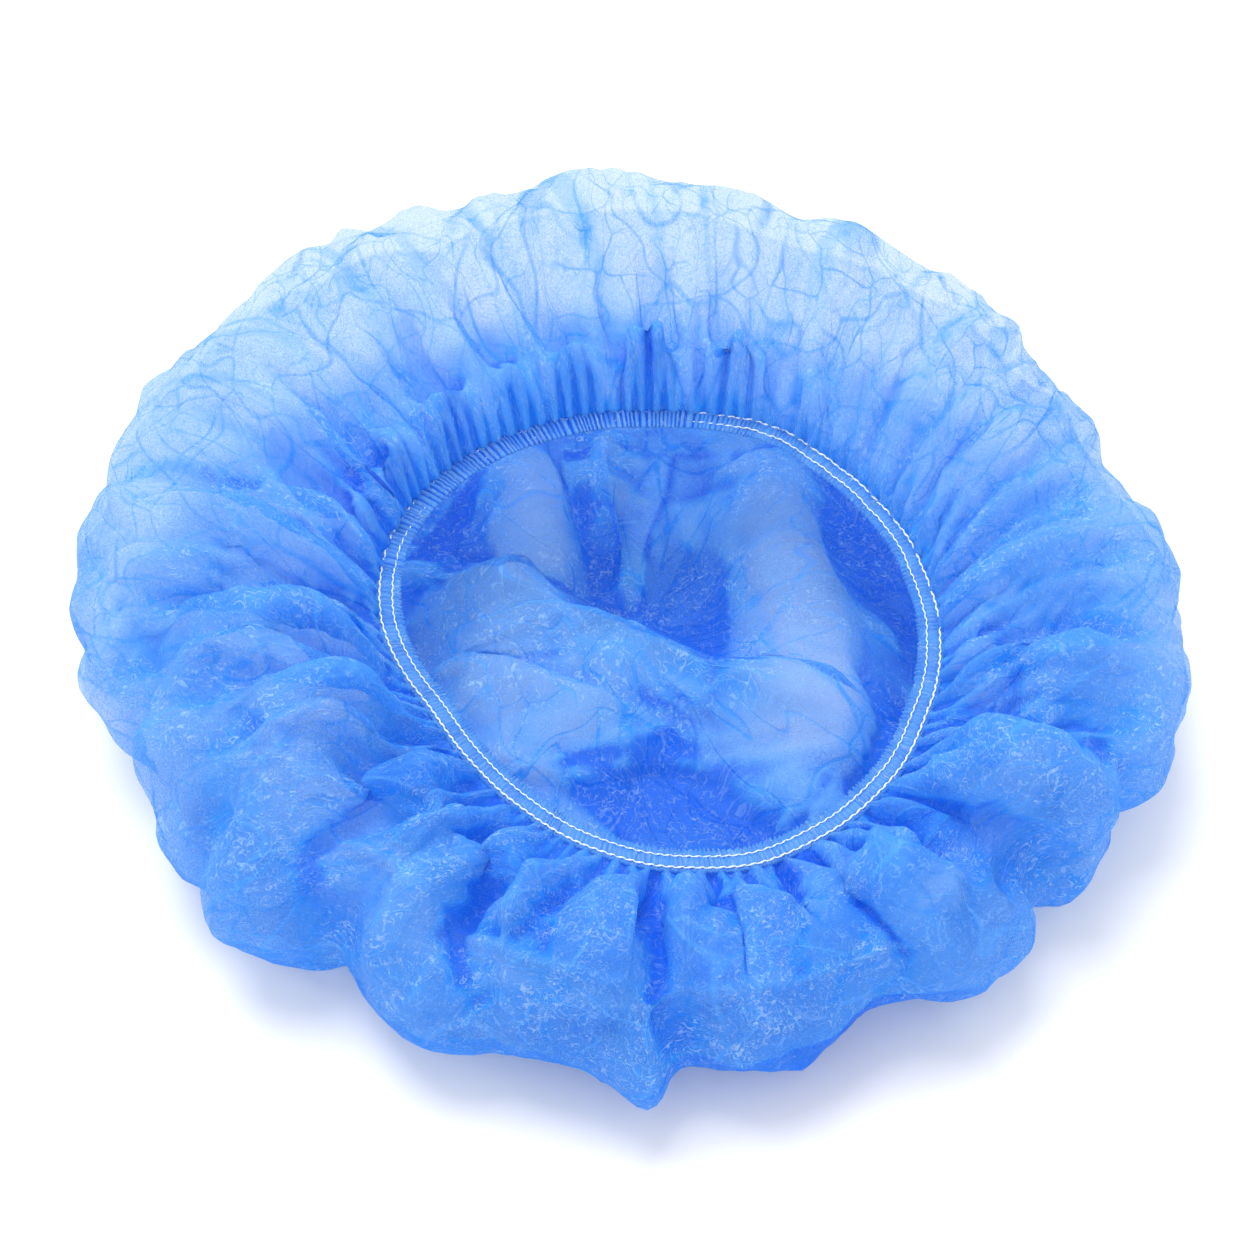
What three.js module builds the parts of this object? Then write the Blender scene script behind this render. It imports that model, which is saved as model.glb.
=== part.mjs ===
// A disposable bouffant cap (hairnet) of thin non-woven cloth, lying crown down with its elastic
// opening up. Units are millimetres and +Z is up. The origin lies on the surface under the cap, at
// the middle of its outline. The opening stands nearer the -Y side, where its rim is lowest.
import * as THREE from "three";

// Driving dimensions.
const CLOTH_WALL = 1.2; // thickness of the crown's wall
const AROUND = 80; // steps round the cap
const RIM_CENTRE = { x: 7.8, y: -29.3 }; // middle of the opening, from the middle of the outline
const GAP = 0.3; // between the pieces

const HEM = {
  inward: 3.4, // from the stitching's middle line to the lip of the opening
  outward: 2.7, // from the same line to where the crown takes over
  halfHeight: 1.7,
  foldedWall: 1.0, // the casing's cloth, top and bottom
  roundedBy: 0.7, // chamfer on the fold at the lip
};
const ELASTIC = { width: 3.0, thickness: 0.8 };

// The cap's cross-section in each direction, anticlockwise from +X. The rim's radius is taken from
// the opening's middle and the reach from the outline's middle. The crest is the puffed top of the
// crown, and the belly is where it reaches furthest out.
const SECTIONS = [
  { rimRadius: 67.3, rimHeight: 43.5, crestHeight: 58, reach: 139, bellyHeight: 26 },
  { rimRadius: 67.0, rimHeight: 45.0, crestHeight: 61, reach: 129, bellyHeight: 27 },
  { rimRadius: 67.4, rimHeight: 47.0, crestHeight: 65, reach: 133, bellyHeight: 28 },
  { rimRadius: 68.7, rimHeight: 48.5, crestHeight: 68, reach: 131, bellyHeight: 30 },
  { rimRadius: 67.0, rimHeight: 49.0, crestHeight: 70, reach: 136, bellyHeight: 31 },
  { rimRadius: 69.0, rimHeight: 48.5, crestHeight: 69, reach: 134.5, bellyHeight: 30 },
  { rimRadius: 71.0, rimHeight: 47.5, crestHeight: 67, reach: 138, bellyHeight: 29 },
  { rimRadius: 70.5, rimHeight: 46.0, crestHeight: 65, reach: 140, bellyHeight: 28 },
  { rimRadius: 66.0, rimHeight: 44.0, crestHeight: 62, reach: 140.5, bellyHeight: 26 },
  { rimRadius: 58.5, rimHeight: 42.0, crestHeight: 58, reach: 133, bellyHeight: 24 },
  { rimRadius: 57.5, rimHeight: 40.0, crestHeight: 54, reach: 137, bellyHeight: 22 },
  { rimRadius: 61.0, rimHeight: 38.5, crestHeight: 51, reach: 136, bellyHeight: 21 },
  { rimRadius: 66.0, rimHeight: 38.0, crestHeight: 49, reach: 140, bellyHeight: 20 },
  { rimRadius: 69.0, rimHeight: 38.5, crestHeight: 50, reach: 139, bellyHeight: 21 },
  { rimRadius: 69.0, rimHeight: 40.0, crestHeight: 52, reach: 139, bellyHeight: 22 },
  { rimRadius: 68.0, rimHeight: 42.0, crestHeight: 55, reach: 143, bellyHeight: 24 },
];
const CREST_SHARE = 0.42; // how far out the crest stands, from the rim to the belly
const FOOT_SHARE = 0.8; // where the cloth meets the surface, as a share of the reach

// The large folds that run from the rim over the crest to the foot. A ridge stands out and a furrow
// goes in, each with its own height on the crest and on the belly.
const FOLDS = [
  { angle: 20, halfWidth: 12, onCrest: -4, onBelly: -1 },
  { angle: 38, halfWidth: 10, onCrest: 4, onBelly: 1 },
  { angle: 56, halfWidth: 10, onCrest: -4, onBelly: -1 },
  { angle: 71, halfWidth: 9, onCrest: 3, onBelly: 1 },
  { angle: 85, halfWidth: 9, onCrest: -4, onBelly: -3 },
  { angle: 97, halfWidth: 9, onCrest: 4, onBelly: 2 },
  { angle: 110, halfWidth: 10, onCrest: -6, onBelly: -3 },
  { angle: 124, halfWidth: 10, onCrest: 4, onBelly: 1 },
  { angle: 139, halfWidth: 10, onCrest: -4, onBelly: -1 },
  { angle: 155, halfWidth: 10, onCrest: 4, onBelly: 1 },
  { angle: 172, halfWidth: 10, onCrest: -4, onBelly: -1 },
  { angle: 187, halfWidth: 9, onCrest: 4, onBelly: 2 },
  { angle: 202, halfWidth: 10, onCrest: -5, onBelly: -4 },
  { angle: 217, halfWidth: 10, onCrest: 6, onBelly: 3 },
  { angle: 234, halfWidth: 12, onCrest: -7, onBelly: -8 },
  { angle: 249, halfWidth: 10, onCrest: 6, onBelly: 3 },
  { angle: 261, halfWidth: 9, onCrest: -5, onBelly: -4 },
  { angle: 271, halfWidth: 9, onCrest: 6, onBelly: 5 },
  { angle: 282, halfWidth: 9, onCrest: -4, onBelly: -4 },
  { angle: 292, halfWidth: 9, onCrest: 5, onBelly: 1 },
  { angle: 303, halfWidth: 9, onCrest: -7, onBelly: -6 },
  { angle: 315, halfWidth: 10, onCrest: 6, onBelly: 3 },
  { angle: 327, halfWidth: 9, onCrest: -5, onBelly: -5 },
  { angle: 338, halfWidth: 9, onCrest: 4, onBelly: 2 },
  { angle: 346, halfWidth: 9, onCrest: -5, onBelly: -2 },
  { angle: 356, halfWidth: 9, onCrest: 4, onBelly: 4 },
];

// The ridges that the crown's slack cloth makes where it lies on the surface, inside the opening.
const FLOOR_RIDGES = [
  { fromX: -62, fromY: 16, toX: 60, toY: -34, height: 18, halfWidth: 28 },
  { fromX: -50, fromY: -50, toX: 58, toY: -44, height: 9, halfWidth: 22 },
  { fromX: 30, fromY: 34, toX: 60, toY: -10, height: 10, halfWidth: 24 },
  { fromX: -10, fromY: 84, toX: 4, toY: 30, height: 8, halfWidth: 20 },
];

// How many rings of cloth each stretch of the cross-section has.
const RINGS = { rise: 5, shoulder: 6, underside: 4, floor: 9 };

const QUARTER_TURN = Math.PI / 2;
const FULL_TURN = 360;

// A value of the section table at any angle, on a smooth closed curve through its rows.
function sectionValue(key, angle) {
  const count = SECTIONS.length;
  const place = ((angle + FULL_TURN) % FULL_TURN) / (FULL_TURN / count);
  const row = Math.floor(place);
  const f = place - row;
  const [a, b, c, d] = [-1, 0, 1, 2].map((k) => SECTIONS[(row + k + count) % count][key]);
  return (
    b +
    0.5 * f * (c - a + f * (2 * a - 5 * b + 4 * c - d + f * (3 * (b - c) + d - a)))
  );
}

// A round-topped bump: 1 at 0, falling smoothly to 0 at 1 and beyond.
function bump(distance) {
  return distance >= 1 ? 0 : (1 - distance * distance) ** 2;
}

// The folds' height in one direction, read from one column of their table.
function foldHeight(column, angle) {
  return FOLDS.reduce((sum, fold) => {
    const away = Math.abs(angle - fold.angle);
    return sum + fold[column] * bump(Math.min(away, FULL_TURN - away) / fold.halfWidth);
  }, 0);
}

// How far the slack ridges lift the cloth off the surface at a place in plan.
function floorLift(x, y) {
  return FLOOR_RIDGES.reduce((highest, ridge) => {
    const along = new THREE.Vector2(ridge.toX - ridge.fromX, ridge.toY - ridge.fromY);
    const offset = new THREE.Vector2(x - ridge.fromX, y - ridge.fromY);
    const share = THREE.MathUtils.clamp(offset.dot(along) / along.lengthSq(), 0, 1);
    const distance = offset.sub(along.multiplyScalar(share)).length();
    return Math.max(highest, ridge.height * bump(distance / ridge.halfWidth));
  }, 0);
}

// The opening's edge: a point this far out from the stitching's middle line, in one direction.
function rimPoint(angle, outward = 0, upward = 0) {
  const radius = sectionValue("rimRadius", angle) + outward;
  const turn = THREE.MathUtils.degToRad(angle);
  return new THREE.Vector3(
    RIM_CENTRE.x + radius * Math.cos(turn),
    RIM_CENTRE.y + radius * Math.sin(turn),
    sectionValue("rimHeight", angle) + upward,
  );
}

// One direction's cross-section, from the rim over the crest and the belly to the foot. Each
// stretch is a quarter of an ellipse. The folds stand square to it and fade out at both ends.
function sectionPoints(angle) {
  const turn = THREE.MathUtils.degToRad(angle);
  const direction = new THREE.Vector3(Math.cos(turn), Math.sin(turn), 0);
  const crestHeight = sectionValue("crestHeight", angle);
  const bellyHeight = sectionValue("bellyHeight", angle);
  const rim = rimPoint(angle, HEM.outward + GAP);
  const belly = direction.clone().multiplyScalar(sectionValue("reach", angle)).setZ(bellyHeight);
  const crest = rim.clone().lerp(belly, CREST_SHARE).setZ(crestHeight);
  const foot = belly.clone().multiplyScalar(FOOT_SHARE).setZ(0);
  const [crestFold, bellyFold] = [foldHeight("onCrest", angle), foldHeight("onBelly", angle)];
  const points = [];
  const add = (place, height, outFold, upFold) => {
    const point = place.clone().setZ(Math.max(0, height + upFold));
    points.push(point.addScaledVector(direction, outFold));
  };
  for (let i = 0; i < RINGS.rise; i++) {
    const t = (i / RINGS.rise) * QUARTER_TURN;
    const height = THREE.MathUtils.lerp(rim.z, crestHeight, Math.sin(t));
    add(rim.clone().lerp(crest, 1 - Math.cos(t)), height, 0, crestFold * Math.sin(t));
  }
  for (let i = 0; i < RINGS.shoulder; i++) {
    const t = (i / RINGS.shoulder) * QUARTER_TURN;
    const height = THREE.MathUtils.lerp(bellyHeight, crestHeight, Math.cos(t));
    add(crest.clone().lerp(belly, Math.sin(t)), height, bellyFold * Math.sin(t), crestFold * Math.cos(t));
  }
  for (let i = 0; i < RINGS.underside; i++) {
    const t = (i / RINGS.underside) * QUARTER_TURN;
    const height = bellyHeight * (1 - Math.sin(t));
    add(foot.clone().lerp(belly, Math.cos(t)), height, bellyFold * Math.cos(t), 0);
  }
  for (let i = 0; i < RINGS.floor; i++) {
    const place = foot.clone().multiplyScalar(1 - i / RINGS.floor);
    points.push(place.setZ(floorLift(place.x, place.y)));
  }
  return points;
}

// Turns rings of points into one closed wall: the outer face, the same face set in by the wall's
// thickness, and a strip that joins them at the first ring. The last ring closes on a pole.
function wallGeometry(rings, pole, thickness) {
  const count = rings[0].length;
  const at = (ring, step) => rings[ring][(step + count) % count];
  const inner = rings.map((ring, r) =>
    ring.map((point, s) => {
      const down = (r + 1 < rings.length ? at(r + 1, s) : pole).clone();
      const alongWall = down.sub(r > 0 ? at(r - 1, s) : point);
      const round = at(r, s + 1).clone().sub(at(r, s - 1));
      return point.clone().addScaledVector(alongWall.cross(round).normalize(), -thickness);
    }),
  );
  const innerPole = pole.clone().setZ(pole.z + thickness);
  const faceSize = rings.length * count + 1;
  const points = [...rings.flat(), pole, ...inner.flat(), innerPole];
  const index = [];
  const quad = (a, b, c, d) => index.push(a, b, c, a, c, d);
  for (let s = 0; s < count; s++) {
    const next = (s + 1) % count;
    for (let r = 0; r + 1 < rings.length; r++) {
      const [a, b] = [r * count + s, r * count + next];
      quad(a, a + count, b + count, b);
      quad(faceSize + a, faceSize + b, faceSize + b + count, faceSize + a + count);
    }
    const last = (rings.length - 1) * count;
    index.push(last + s, faceSize - 1, last + next);
    index.push(faceSize + last + s, faceSize + last + next, 2 * faceSize - 1);
    quad(s, next, faceSize + next, faceSize + s);
  }
  return new THREE.BufferGeometry().setFromPoints(points).setIndex(index);
}

// The crown: one thin wall from the rim, over the puffed sides, to the cloth that lies flat.
function crownGeometry() {
  const columns = Array.from({ length: AROUND }, (_, s) => sectionPoints((s * FULL_TURN) / AROUND));
  const rings = columns[0].map((_, r) => columns.map((column) => column[r]));
  return wallGeometry(rings, new THREE.Vector3(0, 0, floorLift(0, 0)), CLOTH_WALL);
}

// Sweeps a closed section, given as outward and upward offsets, round the opening.
function ringGeometry(section) {
  const points = [];
  const index = [];
  for (let s = 0; s < AROUND; s++) {
    const angle = (s * FULL_TURN) / AROUND;
    points.push(...section.map(([outward, upward]) => rimPoint(angle, outward, upward)));
  }
  for (let s = 0; s < AROUND; s++) {
    const [here, there] = [s * section.length, ((s + 1) % AROUND) * section.length];
    section.forEach((_, k) => {
      const next = (k + 1) % section.length;
      index.push(here + k, there + k, there + next);
      index.push(here + k, there + next, here + next);
    });
  }
  return new THREE.BufferGeometry().setFromPoints(points).setIndex(index);
}

// The cloth folded back on itself over the elastic, open towards the crown.
function hemGeometry() {
  const { inward, outward, halfHeight, foldedWall, roundedBy } = HEM;
  const slot = halfHeight - foldedWall;
  const slotEnd = -ELASTIC.width / 2 - GAP;
  const lip = -inward;
  return ringGeometry([
    [outward, halfHeight],
    [outward, slot],
    [slotEnd, slot],
    [slotEnd, -slot],
    [outward, -slot],
    [outward, -halfHeight],
    [lip + roundedBy, -halfHeight],
    [lip, -halfHeight + roundedBy],
    [lip, halfHeight - roundedBy],
    [lip + roundedBy, halfHeight],
  ].reverse());
}

function elasticGeometry() {
  const [out, up] = [ELASTIC.width / 2, ELASTIC.thickness / 2];
  return ringGeometry([
    [-out, -up],
    [-out, up],
    [out, up],
    [out, -up],
  ].reverse());
}

function piece(name, geometry, color, roughness) {
  geometry.computeVertexNormals();
  const material = new THREE.MeshStandardMaterial({ color, roughness, metalness: 0 });
  const mesh = new THREE.Mesh(geometry, material);
  mesh.name = name;
  return mesh;
}

const cap = new THREE.Group();
cap.add(piece("crown", crownGeometry(), 0x66aaff, 0.85));
cap.add(piece("hem_casing", hemGeometry(), 0x4d97f8, 0.85));
cap.add(piece("elastic_band", elasticGeometry(), 0xdfeaff, 0.6));

// The middle of the outline stands over the origin.
const box = new THREE.Box3().setFromObject(cap);
const middle = box.getCenter(new THREE.Vector3());
cap.position.set(-middle.x, -middle.y, -box.min.z);

export default cap;
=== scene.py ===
import math
import time
import bpy
import numpy as np
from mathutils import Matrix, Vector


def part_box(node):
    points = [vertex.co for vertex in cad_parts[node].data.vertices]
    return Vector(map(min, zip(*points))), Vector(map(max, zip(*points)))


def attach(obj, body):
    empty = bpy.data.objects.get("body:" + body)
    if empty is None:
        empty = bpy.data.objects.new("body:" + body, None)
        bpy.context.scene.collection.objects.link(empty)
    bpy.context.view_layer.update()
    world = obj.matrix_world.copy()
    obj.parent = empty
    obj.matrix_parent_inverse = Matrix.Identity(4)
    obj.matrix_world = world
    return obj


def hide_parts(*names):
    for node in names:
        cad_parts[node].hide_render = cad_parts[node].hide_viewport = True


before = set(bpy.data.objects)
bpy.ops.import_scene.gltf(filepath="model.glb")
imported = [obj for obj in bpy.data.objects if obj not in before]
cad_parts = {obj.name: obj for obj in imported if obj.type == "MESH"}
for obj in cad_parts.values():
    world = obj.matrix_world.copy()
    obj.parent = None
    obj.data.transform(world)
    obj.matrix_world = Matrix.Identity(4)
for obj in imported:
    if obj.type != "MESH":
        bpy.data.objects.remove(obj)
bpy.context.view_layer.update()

mm = 0.001
turn = 2 * math.pi
farAway = 99.0
started = time.time()


# Prints what is done, and how long it has taken so far.
def say(done):
    print(f"{done}: {time.time() - started:.0f} s")


# One value every 22.5 degrees, anticlockwise from +X. The rim's radius is from the opening's middle,
# the reach from the outline's middle, slack is how much spare cloth that side has, and the last rows
# say how many layers of cloth lie over each other at the rim, the crest, the belly and in the hem.
# The hem's high counts behind and to the left also darken the band there as painted shade.
sections = {
    "rimRadius": [67.3, 67, 67.4, 68.7, 67, 69, 71, 70.5, 66, 58.5, 57.5, 61, 66, 69, 69, 68],
    "rimHeight": [43.5, 45, 47, 48.5, 49, 48.5, 47.5, 46, 44, 42, 40, 38.5, 38, 38.5, 40, 42],
    "crestHeight": [57, 61, 65, 68, 70, 69, 67, 64, 60, 55, 50, 46, 44, 45, 47, 52],
    "reach": [139, 129, 133, 131, 136, 134.5, 138, 140, 140.5, 133, 137, 136, 140, 139, 139, 143],
    "bellyHeight": [26, 27, 28, 30, 31, 30, 29, 28, 26, 24, 22, 21, 20, 21, 22, 24],
    "slack": [.8, .7, .5, .4, .4, .4, .5, .7, .9, 1, 1, 1, 1, 1, 1, .9],
    "layersRim": [3.8, 3.0, 2.4, 2.7, 3.2, 3.9, 4.8, 5.6, 6.0, 4.8, 3.6, 3.8, 4.0, 4.4, 4.0, 4.0],
    "layersCrest": [2.6, 1.9, 1.2, 1.0, 1.0, 1.1, 1.5, 2.0, 1.9, 1.5, 1.5, 2.8, 3.1, 4.0, 2.7, 2.6],
    "layersBelly": [1.9, 1.4, 1.0, .95, .95, .95, 1, 1.2, 1.4, 1.6, 1.9, 2.4, 2.7, 2.8, 2.2, 2.0],
    # High counts behind and to the left: partly more cloth, partly painted shade on the band.
    "layersHem": [1.7, 1.6, 1.7, 2.6, 5, 5.5, 5, 3.6, 2.2, 1.8, 1.8, 1.8, 1.8, 1.8, 1.8, 1.8],
}
form = {
    "rimOffset": (7.8, -29.3),  # from the outline's middle to the opening's middle
    "startOutside": 2.0,  # the crown starts this far outside the stitching's middle line
    "crestShare": 0.42,  # of the way out from the rim to the belly
    "footShare": 0.8,  # of the belly's reach
    "clearance": 0.15,  # the least height of the cloth over the surface
    "ridgeEnds": 0.3,  # of a slack ridge's height, at both of its ends
    "panelCrease": 0.7,
    "panelCreaseWidth": 1.5,
    "ruffleLean": 0.35,  # how far a ruffle leans out, as a share of its height
    "ruffleFade": 0.3,  # how much less it turns down than it stands up
}
# How the folds below run: shares of the way from rim to foot, of the width and of the height.
folding = {
    "turnOver": 0.75,  # the way over which a fold turns to its place at the edge
    "widthAtRim": 0.35, "wideAt": 0.5,
    "fadeOver": 0.25,
    "lowerFrom": 0.45, "lowerOver": 0.3, "lowerBy": 0.8,  # folds flatten towards the foot
    "share": (1.0, 0.8, 0.35),  # of the height in front, at the sides and behind
}
# Large folds: where each starts at the rim and ends at the edge, in degrees, the part of the way
# from rim to foot that it covers, its half width at the edge, its height (under 0 for a valley),
# and how far its crest leans over anticlockwise.
foldColumns = ("atRim", "atEdge", "start", "end", "halfWidth", "height", "lean")
folds = [
    (0, 358, .15, .8, 18, 4, 0), (12, 10, .15, .8, 14, -5, 0), (24, 19, .15, .8, 16, 4, 2),
    (35, 28, .15, .8, 16, 4, -2), (42, 35, .15, .8, 14, -5, 0), (52, 47, .15, .8, 18, 3, 0),
    (63, 60, .15, .8, 12, 5, 4), (73, 70, .15, .7, 16, -3, 0), (80, 80, .15, .7, 14, 3, -2),
    (95, 100, .15, .8, 13, 6, -4), (104, 107, .15, .8, 13, -5, 0), (118, 125, .15, .8, 16, 6, 3),
    (130, 140, .15, .7, 20, -4, 0), (142, 155, .15, .7, 20, 4, 3), (151, 182, .12, .8, 15, -6, 0),
    (165, 190, .12, .8, 20, 7, 3), (177, 200, .1, .85, 14, -8, 0), (185, 209, .1, .9, 20, 9, -5),
    (198, 229, .1, 1, 28, 12, -5), (212, 238, .08, 1, 16, -11, 0), (224, 247, .1, 1, 22, 10, 4),
    (236, 256, .1, 1, 13, -8, 0), (246, 261, .1, .9, 16, 7, -3), (254, 263, .15, .8, 9, -4, 0),
    (262, 269, .18, 1, 17, 10, 6), (271, 275, .06, .95, 10, -9, 0), (279, 273.5, .16, 1, 12, 9, -3),
    (284, 281, .06, .8, 8, -5, 0), (289, 290, .14, .6, 17, 7, 2), (297, 300, .05, 1, 14, -10, 0),
    (307, 303, .16, 1, 17, 10, -4),
    (317, 317, .1, 1, 14, -8, 0), (326, 325, .1, 1, 17, 8, 4), (336, 331, .1, 1, 14, -7, 0),
    (345, 338, .1, .9, 17, 7, 3), (352, 347, .12, .8, 14, -5, 0),
]
# Corners and dents of the outline: direction, how far out, and half width in degrees.
cornerColumns = ("angle", "out", "halfWidth")
corners = [
    (272, 8, 4), (311, 4, 7), (318, -3, 4), (331, -4, 5), (337, 4, 5), (358, 2, 6), (28, 1, 5),
    (65, 1, 6), (99, 2, 7), (106, -2, 4), (125, 2, 6), (187, 2, 5), (202, -3, 4), (228, 3, 6),
    (237, -8, 7), (250, 3, 7), (288, 2, 8),
]
# Strips where the sheer cloth is lapped over itself: places at the rim and the edge, the part of the
# way that each covers, half width at the edge and how many layers it adds.
lapColumns = ("atRim", "atEdge", "start", "end", "halfWidth", "layers")
laps = [
    (63, 60, .25, .82, 4.5, 1.6), (71, 74, .3, .8, 1.4, 1.5), (80, 83, .25, .8, 1.6, 1.8),
    (90, 88, .3, .7, 1.2, 1.4), (96, 101, .25, .85, 3.2, 1.5), (110, 112, .3, .8, 1.5, 1.6),
    (118, 125, .25, .85, 4.0, 1.3), (128, 133, .3, .8, 1.6, 1.6), (138, 150, .25, .8, 3.0, 1.2),
    (147, 162, .3, .8, 1.6, 1.6), (156, 176, .2, .85, 2.2, 1.5), (170, 192, .25, .8, 2.0, 1.3),
    (52, 47, .3, .8, 1.5, 1.6), (43, 38, .25, .85, 3.4, 1.4), (35, 29, .3, .8, 1.5, 1.6),
    (27, 21, .25, .8, 3.0, 1.2), (16, 13, .3, .8, 1.5, 1.5), (6, 5, .3, .8, 2.4, 1.2),
    # The last seven, in front, lie along the valleys between the front lobes: partly cloth lapped there,
    # partly painted shade in those valleys.
    (295, 299, -.2, .38, 15, 4.5), (270, 273, -.1, .7, 2.6, 2.2), (233, 252, -.1, .5, 4, 2.5),
    (318, 318, -.1, .6, 3, 2.2), (336, 331, -.1, .55, 3, 2.0), (212, 236, -.1, .6, 4, 2.2),
    (283, 281, -.1, .6, 2.2, 1.8),
]
# Ruffles behind the rim, where the gathered cloth stands up and turns back down: direction, half
# width in degrees, and height.
ruffleColumns = ("angle", "halfWidth", "height")
ruffles = [
    (57, 6, 5), (74, 9, 13), (91, 9, 15), (107, 8, 12), (119, 7, 9), (132, 9, 12), (147, 8, 10),
    (160, 8, 7), (20, 7, 4), (352, 6, 4),
]
# Ridges of the slack cloth that lies inside the opening: both ends in plan, height, and half width
# on the left and on the right of the line.
ridgeColumns = ("fromX", "fromY", "toX", "toY", "height", "leftWidth", "rightWidth")
ridges = [
    (-66, 22, 62, -34, 20, 18, 34), (-54, -12, 20, -30, 13, 18, 26),
    (36, 64, 60, -28, 14, 20, 34), (-7, 76, 2, 12, 8, 14, 14), (-34, 68, -16, 18, 9, 14, 16),
    (16, -34, 60, -40, 9, 16, 16),
]
# Panels between the creases of that cloth, as it lies doubled and single: corners in plan,
# clockwise, and how many layers; the counts also paint some facets paler and others darker, partly as
# painted light and shade. Later ones lie over earlier ones.
panels = [
    ((-61, 27), (-43, 60), (-34, 64), (-49, 28), 5.6), ((-39, 58), (-18, 69), (-8, 14), (-27, 22), 3.1),
    ((-18, 71), (-7, 72), (-1, 13), (-8, 16), 4.8), ((-7, 70), (13, 71), (3, 12), (-1, 12), 3.0),
    ((13, 71), (34, 70), (26, 23), (16, 2), (3, 12), 3.6), ((33, 50), (53, 50), (54, 30), (27, 24), 2.6),
    ((55, 52), (77, 23), (74, -22), (60, -26), (54, 33), 4.0),
    ((27, 20), (52, 27), (59, -28), (26, -6), 2.1), ((43, -5), (57, -12), (59, -28), (46, -18), 1.7),
    ((-58, 5), (-48, 17), (-27, 14), (-7, -16), (-57, -14), 2.6),
    ((-26, 12), (26, -9), (58, -34), (15, -36), (-7, -18), 3.0),
    ((-31, -43), (15, -40), (55, -41), (41, -70), (2, -70), 5.0),
    ((-31, -43), (-20, -40), (2, -68), (-10, -68), 2.3), ((-53, -11), (-3, -11), (15, -29), (-36, -46), 2.6),
    ((-14, -9), (2, -11), (19, -28), (7, -26), 4.6),
    ((15, -27), (36, -16), (59, -27), (52, -41), (18, -42), 2.5),
    ((38, -59), (55, -40), (62, -32), (49, -63), 6.0),
]
crownGrid = {
    "around": 576,  # columns, a multiple of 16
    "rows": {"rise": 32, "shoulder": 36, "underside": 16, "floor": 80},  # multiples of 4
    "flatRadius": 258.0,  # of the round sheet, to the stitching
    "levels": (500, 250, 50),  # relaxing steps on the coarse, middle and fine grids
    "pull": (0.05, 0.06, 0.08),  # how hard each step pulls towards the form
    "creaseCells": (42.0, 24.0, 13.0),  # size of the facets between creases, level by level
    "rough": (1.2, 0.3, 0.0),  # random height that starts the wrinkles
    "roughCell": 5.0,  # size of its bumps on the fine grid
    "spare": 0.025,  # spare cloth everywhere, as a share
    "gathered": 0.10,  # how much of the gathered cloth the relaxing takes up in wrinkles
    "foldFacet": 9.0,  # how near a fold's line the cloth bends easily
    "normalBlur": 6,  # the pleats and creases stand along the normals of the form blurred so often
    "seed": 11,
}
# How hard each relaxing step pulls towards the form at the rim and on the surface, and how much
# harder than elsewhere in the ruffles (for each millimetre of height), behind, in front and along
# the outline, which lies between two parts of the way.
pulling = {
    "atRim": 0.1, "rimRows": 3, "surface": 0.3,
    "perRuffle": 0.04, "behind": 0.08, "front": 0.06,
    "outline": 0.3, "outlineFrom": 0.42, "outlineTo": 0.95, "outlineOver": 0.1,
}
# The middle of the sheet: where it keeps to the form, and where its creases only stand up or down.
middle = {"radius": 45.0, "fade": 25.0, "levelRadius": 40.0, "levelFade": 15.0}
# Layers of cloth on the surface: how many inside and outside the opening, and how far outside it
# they change, in front and so much further behind.
layering = {
    "floor": 4.3, "outside": 1.2, "beyond": 2, "behind": 44, "over": 14,
    "stepped": 0.65,  # how far the count goes in whole layers
    "stepWidth": 0.1,
    "most": 8,
}
# Pleats that run out from the stitching: how many round the rim, height, how far they reach, their
# share of the height at the stitching, how far they wander, how uneven their heights are, and the
# power of each side's slack that scales them.
pleatColumns = ("count", "height", "fadeOut", "atRim", "wander", "uneven", "bySlack")
pleats = [
    (112, 1.0, 10.0, 1, 1.1, 0, 0), (67, 2.7, 28.0, 0, 1.9, 0.6, 0),
    (37, 3.7, 54.0, 0, 1.9, 0.6, 1.5), (19, 2.8, 85.0, 0, 1.9, 0.6, 1.5),
]
# Long straight creases of cloth that has been packed flat: spacing, height and how many directions.
creaseColumns = ("spacing", "height", "directions")
creases = [(80.0, 2.8, 2), (38.0, 1.7, 3), (18.0, 0.65, 3), (9.5, 0.2, 3)]


# A value kept between 0 and 1.
def unit(x):
    return np.clip(x, 0, 1)


# Directions evenly round, anticlockwise from +X.
def around(count):
    return np.arange(count) / count * turn


# A table's rows as dictionaries.
def rowsOf(columns, table):
    return [dict(zip(columns, row)) for row in table]


# A section's value at any angle: a periodic Catmull-Rom curve through the table's values.
def sectionAt(key, angle):
    values = np.array(sections[key], float)
    place = (angle % turn) / turn * len(values)
    row = np.floor(place).astype(int)
    f = place - row
    a, b, c, d = (values[(row + k) % len(values)] for k in (-1, 0, 1, 2))
    return b + 0.5 * f * (c - a + f * (2 * a - 5 * b + 4 * c - d + f * (3 * (b - c) + d - a)))


# A bump that is 1 at 0 and falls smoothly to 0 at 1: the square of 1 less the square.
def bump(x):
    return np.clip(1 - x * x, 0, None) ** 2


# A bell curve that is 1 at 0: e raised to minus the square.
def bell(x):
    return np.exp(-(x ** 2))


# A ridge with a narrow crest: 1 less the distance, rounded a little at the crest.
def ridge(x):
    return np.clip(1.03 - np.sqrt(x * x + 0.006), 0, None) ** 1.5


# The smaller way round from one direction to another, in radians.
def apart(angle, other):
    return (angle - other + math.pi) % turn - math.pi


# The rim's line at any angle, moved outwards and up: a circle with the table's radius and height.
def rimLine(angle, outward=0.0, upward=0.0):
    radius = sectionAt("rimRadius", angle) + outward
    x = form["rimOffset"][0] + radius * np.cos(angle)
    y = form["rimOffset"][1] + radius * np.sin(angle)
    return np.stack([x, y, sectionAt("rimHeight", angle) + upward + 0 * x])


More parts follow.
